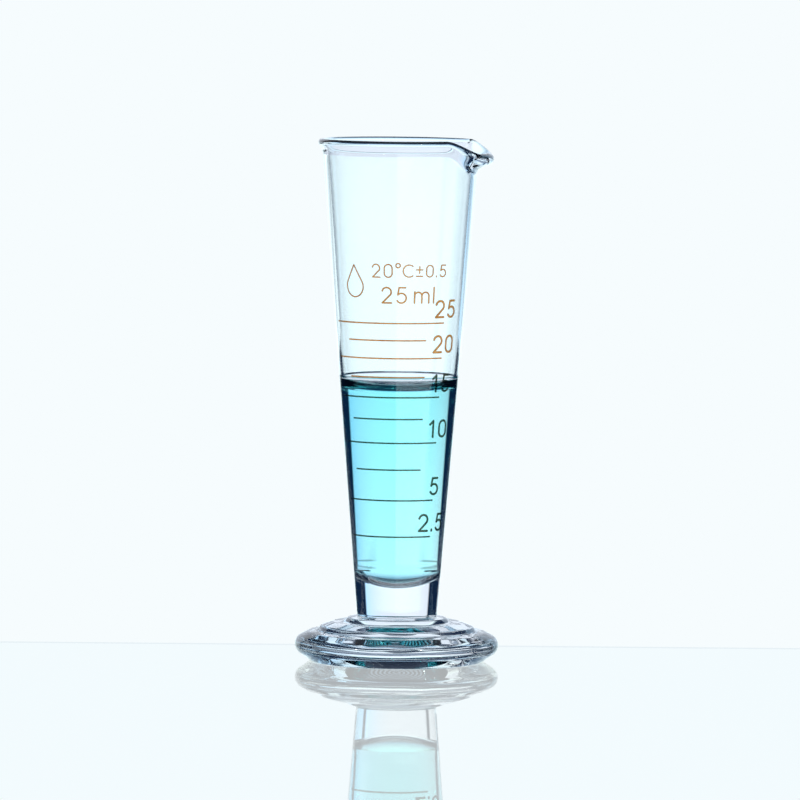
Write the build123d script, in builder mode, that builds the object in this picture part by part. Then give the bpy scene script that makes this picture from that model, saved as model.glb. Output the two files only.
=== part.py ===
from build123d import *
from math import acosh, asin, cos, degrees, pi, radians, sin
import os

# A 25 ml conical measuring glass: a blown, tapered cup with a rolled rim and a pouring lip, drawn
# out below into a solid stem, which is fused to a pressed foot. Its scale is printed on the outside
# in fired enamel. Millimetres and degrees. The origin is the centre of the foot's underside, +Z runs
# up the axis, +X points to the pouring lip, and the scale is read from -Y.

os.makedirs("parts", exist_ok=True)

# Cup: the outside is one cone. The inside is two, which meet in a slow bend, where the wall is
# thinnest. A cone is given by its radius at one height and its taper, in mm per mm of height
OUTER_CONE_RADIUS = 8.57  # at the table plane
OUTER_CONE_TAPER = 0.081
WALL_BEND_Z = 69.6
WALL_BEND_RADIUS = 13.43  # inside radius where the two inner cones would meet
WALL_BEND_REACH = 10.0  # how far above and below the bend is spread
LOWER_CONE_TAPER = 0.1055
UPPER_CONE_TAPER = 0.0693
STEM_FOOT_Z = 10.7  # where the stem stands on the foot
STEM_EDGE_RADIUS = 0.42
BOWL_BOTTOM_Z = 17.6
BOWL_RADIUS = 11.2  # curvature of the bowl's shallow bottom
BOWL_CORNER_RADIUS = 1.9

# Rim and pouring lip
RIM_START_Z = 109.0  # the rim's section begins here
RIM_NECK_Z = 119.3  # the wall starts to flare here
BEAD_CENTRE_RADIUS = 18.5
BEAD_CENTRE_Z = 122.2
BEAD_RADIUS = 0.85
RIM_FLARE = 38.0  # lean of the bead from the vertical
LIP_HALF_ANGLE = 42.0
LIP_FULL_HALF_ANGLE = 12.0  # the lip's middle keeps its full reach this far to each side
LIP_SECTION_STEP = 6.0
LIP_REACH = 2.0  # how far the bead moves outwards at the lip
LIP_DROP = 3.6  # and downwards
LIP_NECK_DROP = 4.3
LIP_FLARE = 74.0
LIP_BEAD_RADIUS = 1.4
JOIN_TOLERANCE = 0.002

# Foot
FOOT_RADIUS = 24.05
CONTACT_RING_OUTER = 19.4
CONTACT_RING_INNER = 17.5
RECESS_DEPTH = 1.4

# Liquid: it wets the glass, and stands up against it as far as its capillary length lets it
LIQUID_LEVEL_Z = 63.8
CAPILLARY_LENGTH = 2.7
MENISCUS_RISE = 3.75
MENISCUS_STEPS = (1.0, 0.8, 0.6, 0.4, 0.22, 0.1)  # heights on its curve, in rises

# Printed scale and lettering
ENAMEL_THICKNESS = 0.06
LINE_WIDTH = 0.36
SCALE_AZIMUTH = -90.0  # middle of every scale line
MARK_STEP_ML = 2.5
MARK_COUNT = 10
LONG_MARKS_ML = (2.5, 5, 10, 15, 20, 25)
LONG_HALF_SPAN = 57.0
SHORT_HALF_SPAN = 38.7
NUMERAL_OFFSET = 58.5  # numerals stand over the right end of their lines
NUMERAL_HEIGHT = 3.8
NUMERAL_LIFT = 1.4
NUMERAL_STROKE = 0.54
LETTER_GAP = 0.36  # between letters, in letter heights

# (characters, azimuth of their middle, height of their base, letter height, stroke width, name)
HEADINGS = [
    ("25 ml", -68.8, 85.3, 3.6, 0.40, "capacity_25_ml"),
    ("20°C", -82.9, 91.3, 3.0, 0.32, "temperature_20_c"),
    ("±0.5", -48.6, 91.4, 2.7, 0.32, "tolerance_0_5"),
    (["drop"], -118.1, 86.5, 7.5, 0.32, "drop_symbol"),
]

# How each character is built: strokes are centre lines in units of the letter height
WIDTHS = {"0": 0.62, "1": 0.44, "2": 0.62, "5": 0.62, "m": 0.98, "l": 0.0, " ": 0.18}
WIDTHS.update({".": 0.0, "°": 0.20, "C": 0.68, "±": 0.56, "drop": 0.66})
DEGREE_RING_RADIUS = 0.17
STRAIGHT_CHARACTERS = {
    " ": [],
    ".": [((0, 0), (0, 0.06))],
    "l": [((0, 0), (0, 1))],
    "±": [((0, 0.62), (0.56, 0.62)), ((0.28, 0.34), (0.28, 0.9)), ((0, 0.06), (0.56, 0.06))],
}


def outer_radius(z):
    """Outside radius of the cup and stem at a height."""
    return OUTER_CONE_RADIUS + OUTER_CONE_TAPER * z


def inner_radius(z):
    """Inside radius of the cup above its rounded bowl: two cones with a parabola between them."""
    middle_taper = (LOWER_CONE_TAPER + UPPER_CONE_TAPER) / 2
    taper_change = LOWER_CONE_TAPER - UPPER_CONE_TAPER
    away = abs(z - WALL_BEND_Z)
    if away < WALL_BEND_REACH:
        away = (away**2 / WALL_BEND_REACH + WALL_BEND_REACH) / 2
    return WALL_BEND_RADIUS + middle_taper * (z - WALL_BEND_Z) - taper_change / 2 * away


def radial_plane(azimuth):
    """Upright plane through the axis: its x runs outwards and its y runs up."""
    outwards = (cos(radians(azimuth)), sin(radians(azimuth)), 0)
    across = (sin(radians(azimuth)), -cos(radians(azimuth)), 0)
    return Plane(origin=(0, 0, 0), x_dir=outwards, z_dir=across)


def finish(piece, name):
    """Label a piece and write it."""
    piece.part.label = name
    export_step(piece.part, f"parts/{name}.step")


# ---------------------------------------------------------------- the space inside the cup
with BuildPart() as cavity:
    with BuildSketch(Plane.XZ) as cavity_half:
        with BuildLine():
            bowl_edge_x = inner_radius(BOWL_BOTTOM_Z + 2)
            bowl_edge_z = BOWL_BOTTOM_Z + BOWL_RADIUS - (BOWL_RADIUS**2 - bowl_edge_x**2) ** 0.5
            bowl_middle_x = bowl_edge_x / 2
            bowl_middle_z = BOWL_BOTTOM_Z + BOWL_RADIUS - (BOWL_RADIUS**2 - bowl_middle_x**2) ** 0.5
            ThreePointArc(
                (0, BOWL_BOTTOM_Z), (bowl_middle_x, bowl_middle_z), (bowl_edge_x, bowl_edge_z)
            )
            bend_low_z = WALL_BEND_Z - WALL_BEND_REACH
            bend_high_z = WALL_BEND_Z + WALL_BEND_REACH
            Line((bowl_edge_x, bowl_edge_z), (inner_radius(bend_low_z), bend_low_z))
            Bezier(
                (inner_radius(bend_low_z), bend_low_z),
                (WALL_BEND_RADIUS, WALL_BEND_Z),
                (inner_radius(bend_high_z), bend_high_z),
            )
            Line((inner_radius(bend_high_z), bend_high_z), (inner_radius(RIM_START_Z), RIM_START_Z))
            Line((inner_radius(RIM_START_Z), RIM_START_Z), (0, RIM_START_Z))
            Line((0, RIM_START_Z), (0, BOWL_BOTTOM_Z))
        make_face()
        corner = cavity_half.vertices().filter_by(lambda v: v.X > bowl_middle_x).sort_by(Axis.Y)[0]
        fillet(corner, BOWL_CORNER_RADIUS)
    revolve(axis=Axis.Z)

# ---------------------------------------------------------------- cup, rim and pouring lip


def lip_amount(azimuth):
    """1 at the middle of the pouring lip, easing to 0 at its sides and round the rest of the rim."""
    inwards = (LIP_HALF_ANGLE - abs(azimuth)) / (LIP_HALF_ANGLE - LIP_FULL_HALF_ANGLE)
    inwards = min(1, max(0, inwards))
    return inwards**2 * (3 - 2 * inwards)


def rim_outline(azimuth):
    """Section of the wall's top: straight wall, then a flare that ends in a round bead."""
    amount = lip_amount(azimuth)
    neck_z = RIM_NECK_Z - LIP_NECK_DROP * amount
    centre = Vector(BEAD_CENTRE_RADIUS + LIP_REACH * amount, BEAD_CENTRE_Z - LIP_DROP * amount)
    radius = BEAD_RADIUS + (LIP_BEAD_RADIUS - BEAD_RADIUS) * amount
    lean = radians(RIM_FLARE + (LIP_FLARE - RIM_FLARE) * amount)
    along = Vector(sin(lean), cos(lean))
    across = Vector(cos(lean), -sin(lean))
    outer_neck = Vector(outer_radius(neck_z), neck_z)
    inner_neck = Vector(inner_radius(neck_z), neck_z)
    outer_start = Vector(outer_radius(RIM_START_Z), RIM_START_Z)
    inner_start = Vector(inner_radius(RIM_START_Z), RIM_START_Z)
    below = centre + across * radius
    above = centre - across * radius
    Line(inner_start, outer_start)
    Line(outer_start, outer_neck)
    Spline(outer_neck, below, tangents=[(OUTER_CONE_TAPER, 1), along])
    ThreePointArc(below, centre + along * radius, above)
    Spline(above, inner_neck, tangents=[along * -1, (-UPPER_CONE_TAPER, -1)])
    Line(inner_neck, inner_start)


lip_steps = int(2 * LIP_HALF_ANGLE / LIP_SECTION_STEP) + 1
lip_azimuths = [LIP_HALF_ANGLE - LIP_SECTION_STEP * step for step in range(lip_steps)]

with BuildPart() as cup_body:
    with BuildSketch(Plane.XZ):
        with BuildLine():
            Polyline(
                (0, STEM_FOOT_Z),
                (outer_radius(STEM_FOOT_Z), STEM_FOOT_Z),
                (outer_radius(RIM_START_Z), RIM_START_Z),
                (0, RIM_START_Z),
                close=True,
            )
        make_face()
    revolve(axis=Axis.Z)
    add(cavity.part, mode=Mode.SUBTRACT)
    fillet(cup_body.edges().group_by(Axis.Z)[0], STEM_EDGE_RADIUS)

with BuildPart() as plain_rim:
    with BuildSketch(radial_plane(LIP_HALF_ANGLE)):
        with BuildLine():
            rim_outline(LIP_HALF_ANGLE)
        make_face()
    revolve(axis=Axis.Z, revolution_arc=360 - 2 * LIP_HALF_ANGLE)

with BuildPart() as pouring_lip:
    for azimuth in lip_azimuths:
        with BuildSketch(radial_plane(azimuth)):
            with BuildLine():
                rim_outline(azimuth)
            make_face()
    loft()

# The lofted lip follows the cones within a few ten-thousandths, so the three join with a tolerance
with BuildPart() as glass_cup:
    add(cup_body.part.fuse(plain_rim.part, pouring_lip.part, tol=JOIN_TOLERANCE))
finish(glass_cup, "glass_cup")

# ---------------------------------------------------------------- pressed foot, in three steps
# (radius, height, rounding) of each corner of its outline, from the stem outwards and under
foot_corners = [
    (11.95, STEM_FOOT_Z - 0.25, 0.75),
    (12.7, 8.65, 0.65),
    (15.05, 9.3, 2.3),
    (17.95, 8.45, 0.85),
    (18.5, 6.9, 0.55),
    (21.05, 6.85, 2.3),
    (FOOT_RADIUS + 0.18, 5.25, 1.05),
    (FOOT_RADIUS - 0.57, 2.25, 1.5),
    (CONTACT_RING_OUTER + 0.85, 0, 1.3),
]
recess_radius = (CONTACT_RING_INNER**2 + RECESS_DEPTH**2) / (2 * RECESS_DEPTH)
with BuildPart() as glass_foot:
    with BuildSketch(Plane.XZ):
        with BuildLine():
            start = (outer_radius(STEM_FOOT_Z) + 0.28, STEM_FOOT_Z)
            end = (CONTACT_RING_INNER, 0)
            FilletPolyline(
                start,
                *[(x, z) for x, z, _ in foot_corners],
                end,
                radius=[rounding for _, _, rounding in foot_corners],
            )
            JernArc(
                (0, RECESS_DEPTH), (1, 0), recess_radius, -degrees(asin(CONTACT_RING_INNER / recess_radius))
            )
            Line((0, RECESS_DEPTH), (0, STEM_FOOT_Z))
            Line((0, STEM_FOOT_Z), start)
        make_face()
    revolve(axis=Axis.Z)
finish(glass_foot, "glass_foot")

# ---------------------------------------------------------------- liquid, with a concave surface
wetted_z = LIQUID_LEVEL_Z + MENISCUS_RISE


def wall_distance(height):
    """How far from the wall the liquid stands this much above its level, by its surface tension."""

    def reach(h):
        return CAPILLARY_LENGTH * acosh(2 * CAPILLARY_LENGTH / h) - (4 * CAPILLARY_LENGTH**2 - h**2) ** 0.5

    return reach(height) - reach(MENISCUS_RISE)


with BuildPart() as coloured_liquid:
    with BuildSketch(Plane.XZ):
        with BuildLine():
            rises = [step * MENISCUS_RISE for step in MENISCUS_STEPS]
            climb = [(inner_radius(wetted_z) - wall_distance(h), LIQUID_LEVEL_Z + h) for h in rises]
            Spline(*climb, (0, LIQUID_LEVEL_Z), tangents=[(-0.15, -1), (-1, 0)])
            Line((inner_radius(wetted_z), wetted_z), (outer_radius(wetted_z), wetted_z))
            Line((outer_radius(wetted_z), wetted_z), (outer_radius(wetted_z), 0))
            Line((outer_radius(wetted_z), 0), (0, 0))
            Line((0, 0), (0, LIQUID_LEVEL_Z))
        make_face()
    revolve(axis=Axis.Z)
    add(cavity.part, mode=Mode.INTERSECT)
finish(coloured_liquid, "coloured_liquid")

# ---------------------------------------------------------------- calibration of the scale
FIRST_GUESS_Z = 60.0
CALIBRATION_ROUNDS = 6


def mark_height(millilitres):
    """Height at which the cup holds a volume, measured to the flat middle of the liquid."""
    z = FIRST_GUESS_Z
    for _ in range(CALIBRATION_ROUNDS):
        held = split(cavity.part, bisect_by=Plane.XY.offset(z), keep=Keep.BOTTOM).volume
        z += (millilitres * 1000 - held) / (pi * inner_radius(z) ** 2)
    return z


def film_outline(low, high):
    """Section of the enamel film on the outside of the cup between two heights."""
    Polyline(
        (outer_radius(low), low),
        (outer_radius(low) + ENAMEL_THICKNESS, low),
        (outer_radius(high) + ENAMEL_THICKNESS, high),
        (outer_radius(high), high),
        close=True,
    )


def name_of(millilitres):
    """Volume as it is written in a node's name."""
    return f"{millilitres:g}".replace(".", "_")


# ---------------------------------------------------------------- scale lines
for step in range(MARK_COUNT):
    volume = MARK_STEP_ML * (step + 1)
    half_span = LONG_HALF_SPAN if volume in LONG_MARKS_ML else SHORT_HALF_SPAN
    line_z = mark_height(volume)
    with BuildPart() as scale_line:
        with BuildSketch(radial_plane(SCALE_AZIMUTH - half_span)):
            with BuildLine():
                film_outline(line_z - LINE_WIDTH / 2, line_z + LINE_WIDTH / 2)
            make_face()
        revolve(axis=Axis.Z, revolution_arc=2 * half_span)
    finish(scale_line, f"mark_{name_of(volume)}_ml")

# ---------------------------------------------------------------- lettering


def strokes_of(character):
    """Centre lines of one character, one letter height tall, from its lower left corner."""
    middle = WIDTHS[character] / 2
    strokes = []
    if character == "0":
        for side, turn in ((-1, 90), (1, -90)):
            with BuildLine() as half:
                CenterArc((middle, 1 - middle), middle, 90, turn)
                Line((middle + side * middle, 1 - middle), (middle + side * middle, middle))
                CenterArc((middle, middle), middle, 90 + turn, turn)
            strokes.append(half.wire())
    elif character == "1":
        with BuildLine() as flag_and_stem:
            Polyline((0.06, 0.78), (0.3, 1), (0.3, 0))
        strokes.append(flag_and_stem.wire())
    elif character == "2":
        with BuildLine() as two:
            hook = CenterArc((0.31, 0.7), 0.3, 165, -198)
            Polyline(hook @ 1, (0.02, 0), (0.62, 0))
        strokes.append(two.wire())
    elif character == "5":
        with BuildLine() as five:
            belly = CenterArc((0.29, 0.315), 0.315, 137, -285)
            Polyline((0.56, 1), (0.14, 1), belly @ 0)
        strokes.append(five.wire())
    elif character == "m":
        with BuildLine() as stem:
            Line((0, 0), (0, 0.72))
        strokes.append(stem.wire())
        for left in (0, middle):
            with BuildLine() as arch:
                ThreePointArc((left, 0.5), (left + middle / 2, 0.7), (left + middle, 0.5))
                Line((left + middle, 0.5), (left + middle, 0))
            strokes.append(arch.wire())
    elif character == "°":
        for start in (0, 180):
            with BuildLine() as half_ring:
                CenterArc((middle, 0.92), DEGREE_RING_RADIUS, start, 180)
            strokes.append(half_ring.wire())
    elif character == "C":
        with BuildLine() as open_ring:
            CenterArc((0.41, 0.5), 0.47, 52, 256)
        strokes.append(open_ring.wire())
    elif character == "drop":
        for side in (-0.86 * middle, 0.86 * middle):
            with BuildLine() as flank:
                Line((middle, 1), (middle + side, 0.5))
                ThreePointArc((middle + side, 0.5), (middle + side, 0.17), (middle, 0))
            strokes.append(flank.wire())
    else:
        for bar_start, bar_end in STRAIGHT_CHARACTERS[character]:
            with BuildLine() as bar:
                Line(bar_start, bar_end)
            strokes.append(bar.wire())
    return strokes


def print_letters(characters, azimuth, baseline_z, height, stroke, name):
    """Print characters round the cup, centred on an azimuth, as one enamel film."""
    gaps = [0 if character == " " else LETTER_GAP * height for character in characters]
    total = sum(WIDTHS[character] for character in characters) * height + sum(gaps[:-1])
    cup_radius = outer_radius(baseline_z + height / 2)
    left = -total / 2
    glyphs = [strokes_of(character) for character in characters]
    with BuildPart() as letters:
        for character, strokes, gap in zip(characters, glyphs, gaps):
            width = WIDTHS[character] * height
            turn = azimuth + degrees((left + width / 2) / cup_radius)
            left += width + gap
            outwards = (cos(radians(turn)), sin(radians(turn)), 0)
            tangent = (-sin(radians(turn)), cos(radians(turn)), 0)
            base = (cup_radius * outwards[0], cup_radius * outwards[1], baseline_z)
            face_plane = Plane(origin=base, x_dir=tangent, z_dir=outwards)
            if not strokes:
                continue
            with BuildSketch(face_plane):
                with Locations((-width / 2, 0)):
                    for path in strokes:
                        SlotArc(path.scale(height), stroke)
            extrude(amount=2, both=True)
        with BuildSketch(Plane.XZ):
            with BuildLine():
                film_outline(baseline_z - height, baseline_z + 2 * height)
            make_face()
        revolve(axis=Axis.Z, mode=Mode.INTERSECT)
    finish(letters, name)


for volume in LONG_MARKS_ML:
    print_letters(
        f"{volume:g}",
        SCALE_AZIMUTH + NUMERAL_OFFSET,
        mark_height(volume) + NUMERAL_LIFT,
        NUMERAL_HEIGHT,
        NUMERAL_STROKE,
        f"numeral_{name_of(volume)}",
    )
for heading in HEADINGS:
    print_letters(*heading)
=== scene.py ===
import math

import bpy
import bmesh
from mathutils import Matrix, Vector, noise


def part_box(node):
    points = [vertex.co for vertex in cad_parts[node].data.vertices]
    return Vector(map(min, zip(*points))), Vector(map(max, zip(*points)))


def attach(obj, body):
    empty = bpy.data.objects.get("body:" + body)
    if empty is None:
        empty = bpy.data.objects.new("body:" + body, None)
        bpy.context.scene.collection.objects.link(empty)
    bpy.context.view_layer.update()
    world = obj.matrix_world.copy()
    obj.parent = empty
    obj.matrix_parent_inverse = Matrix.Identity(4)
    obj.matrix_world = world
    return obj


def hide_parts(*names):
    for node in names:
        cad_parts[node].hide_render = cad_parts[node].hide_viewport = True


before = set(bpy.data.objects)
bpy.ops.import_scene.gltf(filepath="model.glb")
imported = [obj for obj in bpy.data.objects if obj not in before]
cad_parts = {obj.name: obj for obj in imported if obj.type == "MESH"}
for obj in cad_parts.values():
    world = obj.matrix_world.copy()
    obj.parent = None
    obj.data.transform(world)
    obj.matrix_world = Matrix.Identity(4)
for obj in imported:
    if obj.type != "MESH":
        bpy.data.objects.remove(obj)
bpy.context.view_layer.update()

# A 25 ml conical measuring glass on a glossy shelf. Metres, in the CAD frame: +Z up the axis,
# +X towards the pouring lip, the scale facing -Y. The glass is lathed here as one smooth surface per
# piece, the liquid wets it, and the printed scale stays as the CAD made it, with its own material.

MM = 0.001
TURN = 2 * math.pi

# ------------------------------------------------------------------ sizes that the CAD holds too
OUTER_CONE_RADIUS = 8.57 * MM
OUTER_CONE_TAPER = 0.081
WALL_BEND_Z = 69.6 * MM
WALL_BEND_RADIUS = 13.43 * MM
WALL_BEND_REACH = 10.0 * MM
LOWER_CONE_TAPER = 0.1055
UPPER_CONE_TAPER = 0.0693
STEM_EDGE_RADIUS = 0.42 * MM
BOWL_BOTTOM_Z = 17.6 * MM
BOWL_RADIUS = 11.2 * MM
BOWL_CORNER_RADIUS = 1.9 * MM
RIM_NECK_Z = 119.3 * MM
BEAD_CENTRE_RADIUS = 18.5 * MM
BEAD_CENTRE_Z = 122.2 * MM
BEAD_RADIUS = 0.85 * MM
RIM_FLARE = math.radians(38)
LIP_HALF_ANGLE = math.radians(42)
LIP_FULL_HALF_ANGLE = math.radians(12)
LIP_REACH = 2.0 * MM
LIP_DROP = 3.6 * MM
LIP_NECK_DROP = 4.3 * MM
LIP_FLARE = math.radians(74)
LIP_BEAD_RADIUS = 1.4 * MM
FOOT_RADIUS = 24.05 * MM
CONTACT_RING_OUTER = 19.4 * MM
CONTACT_RING_INNER = 17.5 * MM
RECESS_DEPTH = 1.4 * MM
LIQUID_LEVEL_Z = 63.8 * MM
CAPILLARY_LENGTH = 2.7 * MM
MENISCUS_RISE = 3.75 * MM
WETTED_Z = LIQUID_LEVEL_Z + MENISCUS_RISE  # the liquid climbs the wall to here

# ------------------------------------------------------------------ sizes of the visual model only
BOWL_EDGE_RISE = 2.0 * MM  # the bowl's bottom meets the wall about this far above its middle
LIQUID_OVERLAP = 0.02 * MM  # the liquid's surface lies just inside the glass, so no air is between them
AXIS_CLEARANCE = 0.3 * MM  # the meniscus ends this far from the axis
# the foot's steps from the stem outwards and down to the contact ring: (radius, height, rounding)
FOOT_CORNERS = [
    (11.4 * MM, 10.35 * MM, 1.5 * MM),
    (12.9 * MM, 9.2 * MM, 1.2 * MM),
    (15.05 * MM, 9.25 * MM, 2.3 * MM),
    (17.95 * MM, 8.3 * MM, 1.3 * MM),
    (18.9 * MM, 7.15 * MM, 1.1 * MM),
    (21.05 * MM, 6.9 * MM, 2.3 * MM),
    (FOOT_RADIUS + 0.75 * MM, 5.0 * MM, 2.4 * MM),
    (FOOT_RADIUS - 0.57 * MM, 2.25 * MM, 2.3 * MM),
    (CONTACT_RING_OUTER + 0.85 * MM, 0, 1.3 * MM),
]

# unevenness of the glass: how far it reaches, and its noise in waves per metre
WALL_UNEVENNESS = 0.03 * MM
WALL_NOISE = 55
WALL_NOISE_STRETCH = 0.35  # along the axis, below 1 makes the waves longer
RIM_WAVE = 0.22 * MM
RIM_NOISE = 38
RIM_WAVE_START_Z = 100 * MM
RIM_WAVE_REACH = 30 * MM
RECESS_UNEVENNESS = 0.18 * MM
RECESS_NOISE = 210
FOOT_LUMPS = [(150, 0.10 * MM), (60, 0.16 * MM)]  # noise, reach
FOOT_LUMPS_START = 11 * MM  # they grow from this radius outwards
FOOT_LUMPS_SPREAD = 15 * MM
FOOT_LUMPS_LOW_Z = 0.3 * MM  # and from this height upwards, so that the contact ring stays flat
FOOT_LUMPS_RISE = 2 * MM
FOOT_LUMPS_SIDEWAYS = 0.6  # sideways reach, in upward reaches

# how finely the outlines and rings are divided
GLASS_SEGMENTS = 300
LIQUID_SEGMENTS = 256
WALL_STEPS = 90
FLARE_STEPS = 24
BEAD_STEPS = 28
ROUNDING_STEPS = 10
BOWL_CORNER_STEPS = 16
BOWL_FLOOR_STEPS = 48
RECESS_STEPS = 60
LIQUID_STEPS = 60

scene = bpy.context.scene
stem_foot_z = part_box("glass_cup")[0].z


# ------------------------------------------------------------------ mesh helpers
def outer_radius(z):
    """Outside radius of the cup and stem at a height."""
    return OUTER_CONE_RADIUS + OUTER_CONE_TAPER * z


def inner_radius(z):
    """Inside radius of the cup above its rounded bowl: two cones with a slow bend between them."""
    middle_taper = (LOWER_CONE_TAPER + UPPER_CONE_TAPER) / 2
    taper_change = LOWER_CONE_TAPER - UPPER_CONE_TAPER
    away = abs(z - WALL_BEND_Z)
    if away < WALL_BEND_REACH:
        away = (away**2 / WALL_BEND_REACH + WALL_BEND_REACH) / 2
    return WALL_BEND_RADIUS + middle_taper * (z - WALL_BEND_Z) - taper_change / 2 * away


def inner_wall(start_z, end_z, count):
    """Points up or down the inside of the cup, without the end."""
    heights = [start_z + (end_z - start_z) * i / count for i in range(count)]
    return [Vector((inner_radius(z), z)) for z in heights]


def segment(start, end, count):
    """Points from start towards end, without the end."""
    return [start.lerp(end, i / count) for i in range(count)]


def hermite(start, start_way, end, end_way, count):
    """Smooth curve between two points with a direction at each, without the end."""
    length = (end - start).length
    points = []
    for i in range(count):
        t = i / count
        a = 2 * t**3 - 3 * t**2 + 1
        b = t**3 - 2 * t**2 + t
        c = t**3 - t**2
        points.append(start * a + start_way * (b * length) + end * (1 - a) + end_way * (c * length))
    return points


def arc(centre, radius, start, sweep, count):
    """Points on an arc, from its start angle round by sweep, without the end."""
    angles = [start + sweep * i / count for i in range(count)]
    return [centre + Vector((math.cos(a), math.sin(a))) * radius for a in angles]


def rounded(corners, count=ROUNDING_STEPS):
    """Outline through corners given as (point, rounding radius), with each corner made an arc."""
    points = [corners[0][0]]
    for (before, _), (corner, radius), (after, _) in zip(corners, corners[1:], corners[2:]):
        back = (before - corner).normalized()
        on = (after - corner).normalized()
        half = math.acos(max(-1, min(1, back.dot(on)))) / 2
        centre = corner + (back + on).normalized() * (radius / math.sin(half))
        first = corner + back * (radius / math.tan(half)) - centre
        last = corner + on * (radius / math.tan(half)) - centre
        turn = math.atan2(first.x * last.y - first.y * last.x, first.dot(last))
        points += arc(centre, radius, math.atan2(first.y, first.x), turn, count)
        points.append(centre + last)
    points.append(corners[-1][0])
    return points


def lathe(name, outline_at, segments=GLASS_SEGMENTS, wobble=None):
    """Closed surface of revolution. outline_at(azimuth) gives (radius, z) points, axis to axis or
    closed at both ends by a flat cap; wobble(point) moves each finished point a little."""
    mesh = bpy.data.meshes.new(name)
    surface = bmesh.new()
    rings = []
    for i in range(segments):
        azimuth = TURN * i / segments
        column = []
        for radius, z in outline_at(azimuth):
            point = Vector((radius * math.cos(azimuth), radius * math.sin(azimuth), z))
            column.append(surface.verts.new(wobble(point) if wobble else point))
        rings.append(column)
    for i, column in enumerate(rings):
        beside = rings[(i + 1) % segments]
        for j in range(len(column) - 1):
            surface.faces.new((column[j], beside[j], beside[j + 1], column[j + 1]))
    for end, order in ((0, -1), (-1, 1)):
        ring = [column[end] for column in rings][::order]
        middle = surface.verts.new(sum((v.co for v in ring), Vector()) / segments)
        for i, vert in enumerate(ring):
            surface.faces.new((vert, ring[(i + 1) % segments], middle))
    bmesh.ops.recalc_face_normals(surface, faces=surface.faces)
    if surface.calc_volume(signed=True) < 0:
        bmesh.ops.reverse_faces(surface, faces=surface.faces)
    for face in surface.faces:
        face.smooth = True
    surface.to_mesh(mesh)
    surface.free()
    piece = bpy.data.objects.new(name, mesh)
    scene.collection.objects.link(piece)
    return piece


# ------------------------------------------------------------------ cup
def lip_amount(azimuth):
    """1 at the middle of the pouring lip, easing to 0 at its sides and round the rest of the rim."""
    away = abs((azimuth + math.pi) % TURN - math.pi)
    inwards = (LIP_HALF_ANGLE - away) / (LIP_HALF_ANGLE - LIP_FULL_HALF_ANGLE)
    inwards = min(1, max(0, inwards))
    return inwards**2 * (3 - 2 * inwards)


def cup_outline(azimuth):
    """Section of the cup: up the outside from the stem's foot, over the bead and down to the bowl."""
    amount = lip_amount(azimuth)
    neck_z = RIM_NECK_Z - LIP_NECK_DROP * amount
    centre = Vector((BEAD_CENTRE_RADIUS + LIP_REACH * amount, BEAD_CENTRE_Z - LIP_DROP * amount))
    radius = BEAD_RADIUS + (LIP_BEAD_RADIUS - BEAD_RADIUS) * amount
    lean = RIM_FLARE + (LIP_FLARE - RIM_FLARE) * amount
    along = Vector((math.sin(lean), math.cos(lean)))
    across = Vector((math.cos(lean), -math.sin(lean)))
    outer_way = Vector((OUTER_CONE_TAPER, 1)).normalized()
    inner_way = Vector((-UPPER_CONE_TAPER, -1)).normalized()
    outer_neck = Vector((outer_radius(neck_z), neck_z))
    inner_neck = Vector((inner_radius(neck_z), neck_z))

    edge = Vector((outer_radius(stem_foot_z), stem_foot_z))
    stem_start = rounded([(edge - Vector((1 * MM, 0)), 0), (edge, STEM_EDGE_RADIUS), (outer_neck, 0)])[1:-1]
    below = centre + across * radius
    above = centre - across * radius
    points = list(stem_start)
    points += segment(stem_start[-1], outer_neck, WALL_STEPS)[1:]
    points += hermite(outer_neck, outer_way, below, along, FLARE_STEPS)
    points += arc(centre, radius, math.atan2(across.y, across.x), math.pi, BEAD_STEPS)
    points += hermite(above, -along, inner_neck, inner_way, FLARE_STEPS)
    corner = bowl_corner()
    points += inner_wall(neck_z, corner[0].y, WALL_STEPS)
    points += corner
    points += bowl_floor(corner[-1].x)
    return points


def bowl_height(x):
    """Height of the bowl's shallow bottom at a radius."""
    return BOWL_BOTTOM_Z + BOWL_RADIUS - math.sqrt(BOWL_RADIUS**2 - x**2)


def bowl_corner():
    """The rounded corner between the wall and the bowl's bottom, from the wall inwards."""
    edge_x = inner_radius(BOWL_BOTTOM_Z + BOWL_EDGE_RISE)
    edge = Vector((edge_x, bowl_height(edge_x)))
    up_wall = edge + Vector((LOWER_CONE_TAPER, 1)) * (10 * MM)
    slope = edge_x / math.sqrt(BOWL_RADIUS**2 - edge_x**2)
    down_bowl = edge - Vector((1, slope)) * (5 * MM)
    return rounded([(up_wall, 0), (edge, BOWL_CORNER_RADIUS), (down_bowl, 0)], BOWL_CORNER_STEPS)[1:-1]


def bowl_floor(start_x):
    """Points from the corner to near the middle of the bowl's bottom."""
    radii = [start_x * (1 - i / BOWL_FLOOR_STEPS) for i in range(1, BOWL_FLOOR_STEPS)]
    return [Vector((x, bowl_height(x))) for x in radii]


def outwards(point):
    """Direction from the axis to a point, or nothing on the axis."""
    return Vector((point.x, point.y, 0)).normalized() if point.xy.length > 1e-6 else Vector()


def cup_wobble(point):
    """Slow unevenness of hand-worked glass: the wall a few hundredths, the rim about a tenth."""
    rim = max(0, (point.z - RIM_WAVE_START_Z) / RIM_WAVE_REACH) ** 3
    slow = noise.noise(Vector((point.x, point.y, point.z * WALL_NOISE_STRETCH)) * WALL_NOISE)
    wave = noise.noise(Vector((point.x, point.y, 0.2)) * RIM_NOISE)
    return point + outwards(point) * (slow * WALL_UNEVENNESS) + Vector((0, 0, wave * RIM_WAVE * rim))


cup = lathe("blown_cup", cup_outline, wobble=cup_wobble)


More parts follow.
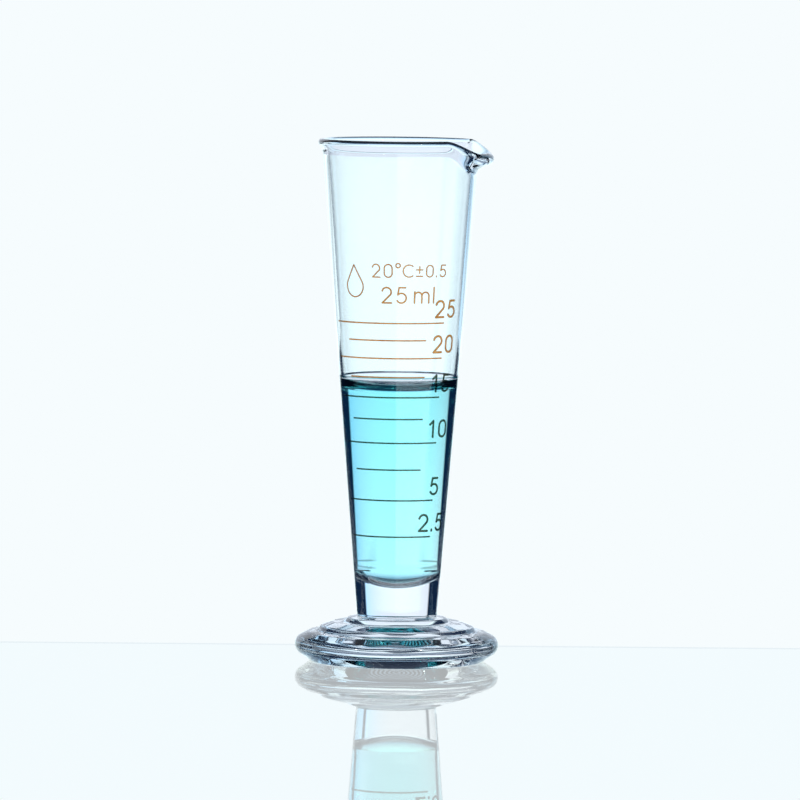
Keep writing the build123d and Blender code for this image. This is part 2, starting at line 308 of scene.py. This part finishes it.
# ------------------------------------------------------------------ foot
def foot_outline(azimuth):
    """Section of the pressed foot, from the top contact with the stem outwards and round under."""
    corners = [(Vector((outer_radius(stem_foot_z) - STEM_EDGE_RADIUS, stem_foot_z)), 0)]
    corners += [(Vector((x, z)), rounding) for x, z, rounding in FOOT_CORNERS]
    corners.append((Vector((CONTACT_RING_INNER, 0)), 0))
    recess_radius = (CONTACT_RING_INNER**2 + RECESS_DEPTH**2) / (2 * RECESS_DEPTH)
    recess = []
    for i in range(1, RECESS_STEPS):
        x = CONTACT_RING_INNER * (1 - i / RECESS_STEPS)
        recess.append(Vector((x, RECESS_DEPTH - recess_radius + math.sqrt(recess_radius**2 - x**2))))
    return rounded(corners) + recess


def foot_wobble(point):
    """Pressed glass flows unevenly towards its edge and in its recess, but stands flat on its ring."""
    inwards = 1 - point.xy.length / CONTACT_RING_INNER
    if inwards > 0 and point.z < RECESS_DEPTH + 0.1 * MM:
        dent = noise.noise(point * RECESS_NOISE) * RECESS_UNEVENNESS
        return point + Vector((0, 0, dent * inwards**0.5))
    reach = max(0, (point.xy.length - FOOT_LUMPS_START) / FOOT_LUMPS_SPREAD)
    lift = min(1, max(0, (point.z - FOOT_LUMPS_LOW_Z) / FOOT_LUMPS_RISE))
    lump = sum(noise.noise(point * waves) * size for waves, size in FOOT_LUMPS)
    way = outwards(point) * FOOT_LUMPS_SIDEWAYS + Vector((0, 0, 1))
    return point + way * (lump * reach * lift)


foot = lathe("pressed_foot", foot_outline, wobble=foot_wobble)


# ------------------------------------------------------------------ liquid
def wall_distance(height):
    """How far from the wall the liquid stands this much above its level, by its surface tension."""

    def reach(h):
        a = CAPILLARY_LENGTH
        return a * math.acosh(2 * a / h) - math.sqrt(4 * a**2 - h**2)

    return reach(height) - reach(MENISCUS_RISE)


def liquid_outline(azimuth):
    """Section of the liquid: from the middle of its surface out to the wall, and down to the bowl."""
    wall_x = inner_radius(WETTED_Z) + LIQUID_OVERLAP
    climb = []
    for i in range(1, LIQUID_STEPS):
        rise = MENISCUS_RISE * (i / LIQUID_STEPS) ** 2
        if wall_distance(rise) < wall_x - AXIS_CLEARANCE:
            climb.append(Vector((wall_x - wall_distance(rise), LIQUID_LEVEL_Z + rise)))
    points = climb + [Vector((wall_x, WETTED_Z))]
    corner = bowl_corner()
    overlap = Vector((LIQUID_OVERLAP, 0))
    points += [p + overlap for p in inner_wall(WETTED_Z, corner[0].y, LIQUID_STEPS)[1:]]
    points += [p + Vector((LIQUID_OVERLAP, -LIQUID_OVERLAP)) for p in corner]
    points += [p - Vector((0, LIQUID_OVERLAP)) for p in bowl_floor(corner[-1].x)]
    return points


liquid = lathe("coloured_water", liquid_outline, segments=LIQUID_SEGMENTS)


# ------------------------------------------------------------------ materials
def new_material(name):
    """A node material with only its Principled shader and output."""
    material = bpy.data.materials.new(name)
    material.use_nodes = True
    nodes = material.node_tree.nodes
    links = material.node_tree.links
    return material, nodes, links, nodes["Principled BSDF"]


def glass_material(name, ripple, squeeze, roughness):
    """Clear glass with the faint ripple of a drawn or pressed surface. The ripple is squeezed along
    the axis: below 1 it runs up and down, above 1 it runs round the piece."""
    material, nodes, links, shader = new_material(name)
    shader.inputs["Base Color"].default_value = (0.985, 0.995, 1.0, 1)
    shader.inputs["Transmission Weight"].default_value = 1
    shader.inputs["Roughness"].default_value = roughness
    shader.inputs["IOR"].default_value = 1.5
    place = nodes.new("ShaderNodeTexCoord")
    waves = nodes.new("ShaderNodeTexNoise")
    waves.inputs["Scale"].default_value = 160
    waves.inputs["Detail"].default_value = 1
    bump = nodes.new("ShaderNodeBump")
    bump.inputs["Strength"].default_value = ripple
    bump.inputs["Distance"].default_value = 0.02 * MM
    squeezed = nodes.new("ShaderNodeVectorMath")
    squeezed.operation = "MULTIPLY"
    squeezed.inputs[1].default_value = (1, 1, squeeze)
    links.new(place.outputs["Object"], squeezed.inputs[0])
    links.new(squeezed.outputs[0], waves.inputs["Vector"])
    links.new(waves.outputs["Fac"], bump.inputs["Height"])
    links.new(bump.outputs["Normal"], shader.inputs["Normal"])
    return material


def liquid_material():
    """Water with a turquoise dye: it takes away red in proportion to its depth."""
    material, nodes, links, shader = new_material("turquoise_liquid")
    shader.inputs["Base Color"].default_value = (1, 1, 1, 1)
    shader.inputs["Transmission Weight"].default_value = 1
    shader.inputs["Roughness"].default_value = 0
    shader.inputs["IOR"].default_value = 1.333
    dye = nodes.new("ShaderNodeVolumeAbsorption")
    dye.inputs["Color"].default_value = (0.05, 0.99, 0.995, 1)
    dye.inputs["Density"].default_value = 42
    links.new(dye.outputs["Volume"], nodes["Material Output"].inputs["Volume"])
    return material


def enamel_material(name, thick_tint, thin_tint):
    """Fired enamel, a see-through brown stain, mottled where the film is thinner."""
    material, nodes, links, shader = new_material(name)
    place = nodes.new("ShaderNodeTexCoord")
    mottle = nodes.new("ShaderNodeTexNoise")
    mottle.inputs["Scale"].default_value = 900
    mottle.inputs["Detail"].default_value = 3
    tint = nodes.new("ShaderNodeValToRGB")
    tint.color_ramp.elements[0].position = 0.3
    tint.color_ramp.elements[0].color = thick_tint
    tint.color_ramp.elements[1].position = 0.75
    tint.color_ramp.elements[1].color = thin_tint
    bump = nodes.new("ShaderNodeBump")
    bump.inputs["Strength"].default_value = 0.4
    bump.inputs["Distance"].default_value = 0.02 * MM
    links.new(place.outputs["Object"], mottle.inputs["Vector"])
    links.new(mottle.outputs["Fac"], tint.inputs["Fac"])
    links.new(tint.outputs["Color"], shader.inputs["Base Color"])
    links.new(mottle.outputs["Fac"], bump.inputs["Height"])
    links.new(bump.outputs["Normal"], shader.inputs["Normal"])
    shader.inputs["Roughness"].default_value = 0.12
    shader.inputs["IOR"].default_value = 1.5
    shader.inputs["Transmission Weight"].default_value = 0.97
    return material


def joint_material():
    """Where stem and foot are fused, light passes without a surface."""
    material, nodes, links, shader = new_material("fused_glass")
    shader.inputs["Base Color"].default_value = (1, 1, 1, 1)
    shader.inputs["Transmission Weight"].default_value = 1
    shader.inputs["Roughness"].default_value = 0
    shader.inputs["IOR"].default_value = 1.0
    return material


cup_glass = glass_material("blown_glass", 0.15, 0.35, 0)
foot_glass = glass_material("pressed_glass", 0.5, 6, 0.04)
fused = joint_material()
cup.data.materials.append(cup_glass)
foot.data.materials.append(foot_glass)
liquid.data.materials.append(liquid_material())
joint_radius = outer_radius(stem_foot_z) - STEM_EDGE_RADIUS
for piece in (cup, foot):
    piece.data.materials.append(fused)
    for face in piece.data.polygons:
        off_joint = max(abs(piece.data.vertices[v].co.z - stem_foot_z) for v in face.vertices)
        if off_joint < 0.005 * MM and face.center.xy.length < joint_radius:
            face.material_index = 1

dry_enamel = enamel_material("orange_brown_enamel", (0.54, 0.21, 0.06, 1), (0.74, 0.36, 0.12, 1))
# the prints over the liquid get a darker copy of the same enamel: painted shade, not a different enamel
shaded_enamel = enamel_material("enamel_painted_shade_over_liquid", (0.07, 0.11, 0.085, 1), (0.16, 0.17, 0.11, 1))
prints = [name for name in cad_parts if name.startswith(("mark_", "numeral_"))]
prints += ["capacity_25_ml", "temperature_20_c", "tolerance_0_5", "drop_symbol"]
for name in prints:
    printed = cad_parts[name]
    printed.data.materials.clear()
    low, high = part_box(name)
    over_liquid = (low.z + high.z) / 2 < WETTED_Z
    printed.data.materials.append(shaded_enamel if over_liquid else dry_enamel)

for piece, nodes, slot in (
    (cup, ["glass_cup"], "clear_glass"),
    (foot, ["glass_foot"], "clear_glass"),
    (liquid, ["coloured_liquid"], "tinted_liquid"),
):
    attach(piece, "root")
    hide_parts(*nodes)

# ------------------------------------------------------------------ camera
CAMERA_AZIMUTH = math.radians(13.5)
CAMERA_DISTANCE = 1.728
CAMERA_HEIGHT = 0.1786
CAMERA_ROLL = math.radians(0.49)
AIM_HEIGHT = 0.0616
AIM_ASIDE = 0.0003

view_right = Vector((math.cos(CAMERA_AZIMUTH), math.sin(CAMERA_AZIMUTH), 0))
view_back = Vector((math.sin(CAMERA_AZIMUTH), -math.cos(CAMERA_AZIMUTH), 0))
camera_data = bpy.data.cameras.new("camera")
camera_data.lens = 331
camera_data.sensor_width = 36
camera_data.clip_start = 0.05
camera = bpy.data.objects.new("camera", camera_data)
scene.collection.objects.link(camera)
scene.camera = camera
camera.location = view_back * CAMERA_DISTANCE + Vector((0, 0, CAMERA_HEIGHT))
aim = view_right * AIM_ASIDE + Vector((0, 0, AIM_HEIGHT))
facing = (aim - camera.location).to_track_quat("-Z", "Y").to_matrix()
camera.rotation_euler = (facing @ Matrix.Rotation(CAMERA_ROLL, 3, "Z")).to_euler()

# ------------------------------------------------------------------ shelf
SHELF_BEHIND = 36.7 * MM
SHELF_FRONT = 0.7
SHELF_HALF_WIDTH = 0.9
EDGE_THICKNESS = 0.3 * MM


def plate_material():
    """A clear plate that mirrors what stands on it."""
    material, nodes, links, shader = new_material("clear_plate")
    nodes.remove(shader)
    through = nodes.new("ShaderNodeBsdfTransparent")
    mirror = nodes.new("ShaderNodeBsdfGlossy")
    mirror.inputs["Color"].default_value = (1.0, 1.0, 0.92, 1)
    mirror.inputs["Roughness"].default_value = 0.01
    fresnel = nodes.new("ShaderNodeFresnel")
    fresnel.inputs["IOR"].default_value = 1.5
    blend = nodes.new("ShaderNodeMixShader")
    links.new(fresnel.outputs["Fac"], blend.inputs[0])
    links.new(through.outputs["BSDF"], blend.inputs[1])
    links.new(mirror.outputs["BSDF"], blend.inputs[2])
    links.new(blend.outputs["Shader"], nodes["Material Output"].inputs["Surface"])
    return material


def glowing_edge_material():
    """The plate's back edge as a glowing strip, its shade painted in a little darker than the backdrop."""
    material, nodes, links, shader = new_material("edge_glow_painted_shade")
    shader.inputs["Base Color"].default_value = (0, 0, 0, 1)
    shader.inputs["Emission Color"].default_value = (0.70, 0.76, 0.81, 1)
    shader.inputs["Emission Strength"].default_value = 1
    return material


shelf_mesh = bpy.data.meshes.new("shelf")
shelf_corners = []
for across, ahead in ((-1, -SHELF_BEHIND), (1, -SHELF_BEHIND), (1, SHELF_FRONT), (-1, SHELF_FRONT)):
    shelf_corners.append(view_right * (across * SHELF_HALF_WIDTH) + view_back * ahead)
shelf_mesh.from_pydata(shelf_corners, [], [(3, 2, 1, 0)])
shelf = bpy.data.objects.new("shelf", shelf_mesh)
scene.collection.objects.link(shelf)
shelf_mesh.materials.append(plate_material())

edge_mesh = bpy.data.meshes.new("shelf_edge")
edge_top = shelf_corners[:2]
edge_bottom = [corner - Vector((0, 0, EDGE_THICKNESS)) for corner in edge_top[::-1]]
edge_mesh.from_pydata(edge_top + edge_bottom, [], [(0, 1, 2, 3)])
edge = bpy.data.objects.new("shelf_edge", edge_mesh)
scene.collection.objects.link(edge)
edge_mesh.materials.append(glowing_edge_material())

# ------------------------------------------------------------------ studio: a dark room with lit screens
# colours, and where they change: elevations, azimuths and soft edges in degrees
BACKDROP_COLOUR = (0.922, 0.973, 0.991, 1)
ROOM_COLOUR = (0.004, 0.015, 0.046, 1)
CEILING_COLOUR = (0.30, 0.38, 0.50, 1)
CEILING_START = 40
CEILING_SOFTNESS = 20
SCREEN_LOW = (1.07, 1.30, 1.36, 1)
SCREEN_HIGH = (0.87, 0.96, 1.08, 1)
SCREEN_SIDE = (0.60, 1.00, 1.36, 1)
SCREEN_FLOOR = (0.40, 0.62, 0.86, 1)
HIGH_START = -0.8
HIGH_SOFTNESS = 2.0
FLOOR_TOP = -22
FLOOR_SOFTNESS = 20
TINTED_HALF = 75  # the side and floor tints stay this near the first screen
SIDE_SOFTNESS = 3.0
FADE_START = 15
FADE_SOFTNESS = 6
FADE_BOTTOM = -3.6
FADE_TOP = -2.3
FADE_AMOUNT = 0.5
EDGE_SOFTNESS = 0.6
BEHIND = math.degrees(CAMERA_AZIMUTH)
BESIDE = 58
# each screen: (middle azimuth, half its width, lowest elevation, highest elevation), in degrees.
# Azimuth 0 is behind the object as the camera at azimuth 0 looks, and grows to the left. The first
# three light the view from the camera, those beside them the foot, and the others the other sides.
SCREENS = [
    (BEHIND, 37, -5.2, 26),
    (BEHIND, 28, -34, -9.5),
    (BEHIND, 19, -10.5, -4.2),
    (97, 13, -5.2, 6),
    (BEHIND - BESIDE, 15, 7, 24),
    (BEHIND + BESIDE, 15, 7, 24),
    (45, 37, -33, -16),
    (225, 37, -22, -7),
]

world = bpy.data.worlds.new("studio")
scene.world = world
world.use_nodes = True
world_nodes = world.node_tree.nodes
world_links = world.node_tree.links


def math_node(operation, *values):
    """A Math node fed by sockets or plain numbers."""
    node = world_nodes.new("ShaderNodeMath")
    node.operation = operation
    for socket, value in zip(node.inputs, values):
        if isinstance(value, (int, float)):
            socket.default_value = value
        else:
            world_links.new(value, socket)
    return node.outputs[0]


def inside(angle, low, high, softness):
    """1 between two angles, falling to 0 over the screen's soft edge."""
    past_low = math_node("SUBTRACT", angle, low)
    past_high = math_node("SUBTRACT", high, angle)
    margin = math_node("DIVIDE", math_node("MINIMUM", past_low, past_high), softness)
    clamp = world_nodes.new("ShaderNodeClamp")
    world_links.new(math_node("ADD", margin, 0.5), clamp.inputs[0])
    return clamp.outputs[0]


def mixed(amount, first, second):
    """Colour between two colours or sockets."""
    node = world_nodes.new("ShaderNodeMix")
    node.data_type = "RGBA"
    world_links.new(amount, node.inputs[0])
    for socket, value in ((node.inputs[6], first), (node.inputs[7], second)):
        if isinstance(value, tuple):
            socket.default_value = value
        else:
            world_links.new(value, socket)
    return node.outputs[2]


way = world_nodes.new("ShaderNodeTexCoord")
split = world_nodes.new("ShaderNodeSeparateXYZ")
world_links.new(way.outputs["Generated"], split.inputs[0])
to_left = math_node("MULTIPLY", split.outputs["X"], -1)
azimuth_here = math_node("DEGREES", math_node("ARCTAN2", to_left, split.outputs["Y"]))
elevation_here = math_node("DEGREES", math_node("ARCSINE", split.outputs["Z"]))


def covered(panels):
    """1 in the directions that any of the panels covers, 0 in the others."""
    cover = 0
    for middle, half, low, high in panels:
        away = math_node("WRAP", math_node("SUBTRACT", azimuth_here, middle), 180, -180)
        across = inside(away, -half, half, SIDE_SOFTNESS)
        panel = math_node("MULTIPLY", across, inside(elevation_here, low, high, EDGE_SOFTNESS))
        cover = math_node("MAXIMUM", panel, cover)
    return cover


lit = covered(SCREENS)
first_middle, first_half = SCREENS[0][:2]
near_first = inside(azimuth_here, first_middle - TINTED_HALF, first_middle + TINTED_HALF, SIDE_SOFTNESS)
right_of_middle = math_node("DIVIDE", math_node("SUBTRACT", first_middle, azimuth_here), first_half)
right_of_middle = math_node("MAXIMUM", right_of_middle, 0)
side_amount = math_node("MULTIPLY", math_node("POWER", right_of_middle, 2), near_first)
high_amount = inside(elevation_here, HIGH_START, 60, HIGH_SOFTNESS)
floor_amount = math_node("MULTIPLY", inside(elevation_here, -90, FLOOR_TOP, FLOOR_SOFTNESS), near_first)
screen_colour = mixed(high_amount, SCREEN_LOW, SCREEN_HIGH)
screen_colour = mixed(math_node("MINIMUM", side_amount, 1), screen_colour, SCREEN_SIDE)
screen_colour = mixed(floor_amount, screen_colour, SCREEN_FLOOR)
# low down, the first screen fades towards its sides
first_away = math_node("SUBTRACT", azimuth_here, first_middle)
faded = math_node("SUBTRACT", 1, inside(first_away, -FADE_START, FADE_START, FADE_SOFTNESS))
faded = math_node("MULTIPLY", faded, inside(elevation_here, FADE_BOTTOM, FADE_TOP, EDGE_SOFTNESS))
lit = math_node("MULTIPLY", lit, math_node("SUBTRACT", 1, math_node("MULTIPLY", faded, FADE_AMOUNT)))
ceiling_amount = inside(elevation_here, CEILING_START, 120, CEILING_SOFTNESS)
dark = mixed(ceiling_amount, ROOM_COLOUR, CEILING_COLOUR)
room = mixed(lit, dark, screen_colour)
# the camera itself looks past the room at a plain pale backdrop
path = world_nodes.new("ShaderNodeLightPath")
seen = mixed(path.outputs["Is Camera Ray"], room, BACKDROP_COLOUR)
world_links.new(seen, world_nodes["Background"].inputs["Color"])

# small lamps for the glints on the rim and foot: name, place, size and power
LAMP_AIM = Vector((0, 0, 0.05))
for name, aside, towards, height, size, power in (
    ("lamp_right", 0.5, 0.9, 0.75, 0.08, 1.2),
    ("lamp_left", -0.7, 0.6, 0.6, 0.05, 0.6),
):
    lamp_data = bpy.data.lights.new(name, "AREA")
    lamp_data.size = size
    lamp_data.energy = power
    lamp = bpy.data.objects.new(name, lamp_data)
    scene.collection.objects.link(lamp)
    lamp.location = view_right * aside + view_back * towards + Vector((0, 0, height))
    lamp.rotation_euler = (LAMP_AIM - lamp.location).to_track_quat("-Z", "Y").to_euler()

scene.view_settings.view_transform = "Standard"
scene.cycles.max_bounces = 32
scene.cycles.transmission_bounces = 32
scene.cycles.glossy_bounces = 16
scene.cycles.caustics_reflective = False
scene.cycles.caustics_refractive = False
